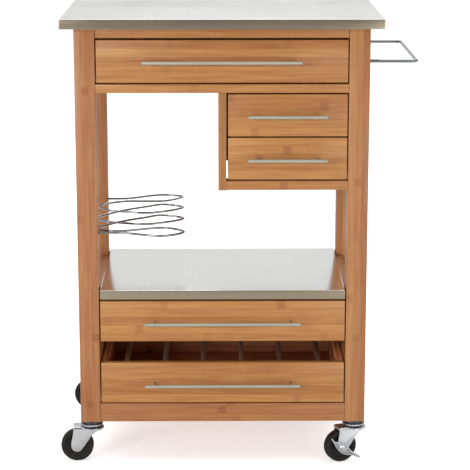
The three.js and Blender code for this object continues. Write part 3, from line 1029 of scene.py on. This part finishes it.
def fork_outline():
    """A fork arm seen from the side: from the crown down and back to a round end at the axle."""
    outline = [(-33.6, 68.0), (-34.4, 66.0), (-34.6, 60.0), (-36.4, 50.0), (-39.0, 38.0)]
    outline += arc((-TRAIL, AXLE_HEIGHT), 11.0, 172, 318, 16)
    outline += [
        (-14.0, 31.0), (-6.0, 43.0), (-1.0, 51.0), (2.5, 55.0), (8.0, 59.5), (13.0, 61.8),
        (18.0, 63.4), (18.6, 65.0), (18.0, 68.0),
    ]
    return outline


def build_fork(place, stand):
    """The pressed fork: a dished crown with a rolled edge, a nose, and two arms with a raised
    boss round the axle."""
    shape = Shape()
    crown = [
        (4.2, 64.6), (8.0, 64.6), (15.0, 64.9), (20.0, 64.6), (22.4, 64.5), (23.3, 65.0),
        (23.5, 66.0), (23.2, 67.2), (22.2, 67.9), (20.5, 68.3), (19.2, 69.2), (16.0, 69.5),
        (4.2, 69.5), (4.2, 64.6),
    ]
    add_turned(shape, crown, 0, stand, sides=64)
    outline = fork_outline()
    boss = [(3.4, 0), (8.6, 0), (8.2, 0.5), (6.8, 0.9), (3.4, 0.9), (3.4, 0)]
    for side in (-1, 1):
        y = sorted((side * FORK_INNER, side * FORK_OUTER))
        points, faces = extruded(outline, y[0], y[1], bevel=0.7, segments=3)
        shape.add(points, faces, place=stand)
        face = Matrix.Translation((-TRAIL, side * (FORK_OUTER - BOSS_LET_IN), AXLE_HEIGHT))
        outwards = Matrix.Rotation(-side * math.pi / 2, 4, "X")
        add_turned(shape, boss, 0, stand @ face @ outwards, sides=40)
    nose = [(-35.5, 64.6), (-35.3, 67.8), (-34.0, 69.3), (-12.0, 69.3), (-12.0, 64.6)]
    points, faces = extruded(nose, -FORK_OUTER, FORK_OUTER, bevel=0.9, segments=3)
    shape.add(points, faces, place=stand)
    stand_for(shape.build(f"caster_{place}_pressed_fork", [ZINC]), f"caster_{place}_fork")


def build_axle(place, stand):
    """A rivet through both arms, and on the braked caster through the pedal too. Its profile
    runs along the axle, with the pedal's side last."""
    rear = FORK_OUTER + RIVET_SLACK
    front = PEDAL_RIVET if place == BRAKED_PLACE else rear
    shape = Shape()
    profile = [
        (0, -rear - 1.0), (1.6, -rear - 1.0), (2.2, -rear - 1.45), (4.2, -rear - 1.2),
        (5.0, -rear - 0.4), (5.0, -rear), (3.0, -rear + 0.1), (3.0, front - 0.1), (5.0, front),
        (5.0, front + 0.4), (4.2, front + 1.2), (2.2, front + 1.45), (1.6, front + 1.0),
        (0, front + 1.0),
    ]
    add_turned(shape, profile, 0, stand @ ALONG_AXLE, sides=32)
    stand_for(shape.build(f"caster_{place}_rivet", [ZINC]), f"caster_{place}_axle")


def build_wheel(place, stand):
    """A moulded wheel: a rounded tread, a recessed web with ribs, and a hub."""
    shape = Shape()
    side = [
        (3.1, 10.5), (6.6, 10.5), (7.6, 10.2), (8.2, 9.0), (9.0, 7.6), (11.0, 7.2), (20.5, 7.2),
        (21.6, 7.8), (22.4, 9.0), (23.4, 9.5), (27.2, 9.5), (29.4, 8.8), (30.6, 7.2), (31.0, 5.2),
        (31.0, 1.8),
    ]
    profile = [(radius, -y) for radius, y in side] + side[::-1]
    profile.append(profile[0])
    add_turned(shape, profile, 0, stand @ ALONG_AXLE, sides=72)
    for face in (-1, 1):
        z = sorted(face * reach for reach in RIB_FACES)
        for i in range(RIBS):
            low = Vector((RIB_FROM, -RIB_HALF, z[0]))
            high = Vector((RIB_TO, RIB_HALF, z[1]))
            points, faces = rounded_block(low, high, 0.3)
            spoke = Matrix.Rotation(2 * math.pi * i / RIBS, 4, "Z")
            shape.add(points, faces, place=stand @ ALONG_AXLE @ spoke)
    stand_for(shape.build(f"caster_{place}_moulded_wheel", [RUBBER]), f"caster_{place}_wheel")


def quadratic(a, b, c, steps):
    """Points on a quadratic curve from a to c, pulled towards b."""
    points = []
    for i in range(steps + 1):
        t = i / steps
        points.append(tuple(
            (1 - t) ** 2 * p + 2 * t * (1 - t) * q + t * t * r for p, q, r in zip(a, b, c)
        ))
    return points


def about_axle(outline):
    """Points (x, z) given from the axle, in the caster's own frame."""
    return [(x - TRAIL, z + AXLE_HEIGHT) for x, z in outline]


def build_pedal(stand):
    """The brake pedal: a pressed crescent with raised rims and a tab to step on."""
    lower = [(-24.5, 20.5), (-17.0, 7.0)]
    lower += quadratic((-17.0, 7.0), (-8.0, -11.0), (7.5, -15.0), 7)[1:]
    lower += [(17.5, -16.0), (33.0, -23.5), (34.0, -22.0), (24.0, -14.5)]
    upper = quadratic((24.0, -14.5), (13.0, -7.0), (6.0, 4.0), 6)[1:]
    upper += [(-7.0, 11.5), (-17.5, 13.0)]
    shape = Shape()
    outline = about_axle(lower + upper)
    # The pedal's flat face takes the darker zinc as painted shade; the rims keep the plain zinc.
    points, faces = extruded(outline, PEDAL_OUTER, PEDAL_INNER, bevel=0.5)
    shape.add(points, faces, 1, place=stand)
    for edge, count in ((lower, 60), (lower[-1:] + upper + lower[:1], 50)):
        rim = [Vector((x, PEDAL_RIM_Y, z)) for x, z in about_axle(edge)]
        points, faces = wire(smooth_curve(rim, count), PEDAL_RIM_RADIUS, sides=10)
        shape.add(points, faces, place=stand)
    boss = [(5.6, 0.3), (5.6, 1.5), (6.2, 2.0), (7.4, 2.0), (8.2, 1.3), (8.4, 0), (6.4, 0)]
    face = Matrix.Translation((-TRAIL, -16.4, AXLE_HEIGHT))
    outwards = Matrix.Rotation(math.pi / 2, 4, "X")
    add_turned(shape, boss + boss[:1], 0, stand @ face @ outwards, sides=40)
    lip = about_axle([
        (33.0, -23.5), (34.0, -22.3), (24.0, -15.0), (12.0, -5.0), (7.0, 2.0), (5.6, 1.0),
        (11.0, -6.2), (23.0, -16.5),
    ])
    points, faces = extruded(lip, -21.8, -15.6, bevel=0.4)
    shape.add(points, faces, place=stand)
    stand_for(
        shape.build("caster_front_right_pressed_pedal", [ZINC, ZINC_DULL_SHADED]),
        "caster_front_right_brake_pedal",
    )


def build_casters():
    for place in PLACES:
        stand = caster_place(place)
        build_housing(place, stand)
        build_fork(place, stand)
        build_axle(place, stand)
        build_wheel(place, stand)
    build_pedal(caster_place(BRAKED_PLACE))


# ---------------------------------------------------------------- stage, light and camera
# The world's strength in front of the cart, behind it and above it. FRONT_TO_BACK and SIDE_TO_TOP
# are the parts of a direction's Y and Z over which one blends into the next.
WORLD_FRONT = 0.6
WORLD_BACK = 1.0
WORLD_TOP = 1.05
WORLD_COLOUR = (0.8, 0.8, 0.8, 1)
WHITE = (1, 1, 1, 1)
FRONT_TO_BACK = (-0.75, 0.35)
SIDE_TO_TOP = (0.35, 0.9)
FLOOR_REACH = 40.0
CART_MIDDLE = (0, 0, 0.45)
CAMERA_LENS = 135.2
CAMERA_DISTANCE = 3.2
CAMERA_HEIGHT = 1.185
CAMERA_ASIDE = 4.5 * MM
CAMERA_PITCH = 0.22667
CAMERA_YAW = -0.0087


def build_floor():
    shape = Shape()
    signs = ((-1, -1), (1, -1), (1, 1), (-1, 1))
    corners = [(x * FLOOR_REACH, y * FLOOR_REACH, 0) for x, y in signs]
    shape.add(corners, [[0, 1, 2, 3]])
    shape.build("floor", [plain_floor()])


def build_world():
    """A studio: bright behind and above, darker in front, and plain white to the camera."""
    world = bpy.data.worlds.new("studio")
    bpy.context.scene.world = world
    world.use_nodes = True
    tree = world.node_tree
    tree.nodes.clear()

    def add(kind):
        return tree.nodes.new("ShaderNode" + kind)

    def blend(direction, span, strengths):
        made = add("MapRange")
        made.interpolation_type = "SMOOTHSTEP"
        made.inputs["From Min"].default_value = span[0]
        made.inputs["From Max"].default_value = span[1]
        made.inputs["To Min"].default_value = strengths[0]
        made.inputs["To Max"].default_value = strengths[1]
        tree.links.new(direction, made.inputs["Value"])
        return made

    place = add("TexCoord")
    split = add("SeparateXYZ")
    tree.links.new(place.outputs["Generated"], split.inputs[0])
    depth = blend(split.outputs["Y"], FRONT_TO_BACK, (WORLD_FRONT, WORLD_BACK))
    above = blend(split.outputs["Z"], SIDE_TO_TOP, (0.0, WORLD_TOP))
    level = add("Math")
    level.operation = "MAXIMUM"
    tree.links.new(depth.outputs[0], level.inputs[0])
    tree.links.new(above.outputs[0], level.inputs[1])
    lit = add("Background")
    lit.inputs["Color"].default_value = WORLD_COLOUR
    tree.links.new(level.outputs[0], lit.inputs["Strength"])
    white = add("Background")
    white.inputs["Color"].default_value = WHITE
    rays = add("LightPath")
    choose = add("MixShader")
    tree.links.new(rays.outputs["Is Camera Ray"], choose.inputs[0])
    tree.links.new(lit.outputs[0], choose.inputs[1])
    tree.links.new(white.outputs[0], choose.inputs[2])
    out = add("OutputWorld")
    tree.links.new(choose.outputs[0], out.inputs["Surface"])


def add_softbox(name, place, size, power):
    """A rectangular light of a size in metres and a power in watts, turned to the cart."""
    data = bpy.data.lights.new(name, "AREA")
    data.shape = "RECTANGLE"
    data.size, data.size_y = size
    data.energy = power
    light = bpy.data.objects.new(name, data)
    bpy.context.scene.collection.objects.link(light)
    light.location = place
    light.rotation_mode = "QUATERNION"
    light.rotation_quaternion = (Vector(place) - Vector(CART_MIDDLE)).to_track_quat("Z", "Y")


def build_lights():
    add_softbox("key_softbox", (-2.5, -3.5, 1.4), (1.8, 1.2), 84)
    add_softbox("fill_softbox", (2.5, -3.6, 0.45), (2.2, 0.8), 42)
    add_softbox("top_softbox", (0, 0.3, 3.2), (4.4, 4.0), 44)
    add_softbox("back_softbox", (0.4, 2.9, 3.1), (2.2, 1.4), 40)


def build_camera():
    """A long lens in front of the cart, above its top and looking down at it."""
    data = bpy.data.cameras.new("camera")
    data.sensor_width = 36.0
    data.lens = CAMERA_LENS
    data.clip_start = 0.1
    data.clip_end = 200.0
    camera = bpy.data.objects.new("camera", data)
    bpy.context.scene.collection.objects.link(camera)
    x = FRAME_MIDDLE_X - CAMERA_ASIDE
    camera.location = (x, FRAME_FRONT_Y - CAMERA_DISTANCE, CAMERA_HEIGHT)
    camera.rotation_euler = (math.pi / 2 - CAMERA_PITCH, 0, CAMERA_YAW)
    bpy.context.scene.camera = camera


# ---------------------------------------------------------------- the whole cart
build_legs()
build_rails()
build_side_panels()
build_back_panels()
build_bay_wall()
build_clad_board("worktop", STEEL_TOP, STEEL_EDGE_SHADED, corner=1.6 * MM, fold=1.3 * MM)
build_clad_board("shelf", STEEL_SHELF, STEEL_SHELF_EDGE_SHADED, corner=1.6 * MM, fold=2.2 * MM)
build_drawers()
build_bottle_grid()
build_bottle_rack()
build_towel_rail()
build_casters()
build_floor()
build_world()
build_lights()
build_camera()
bpy.context.scene.view_settings.view_transform = "Standard"
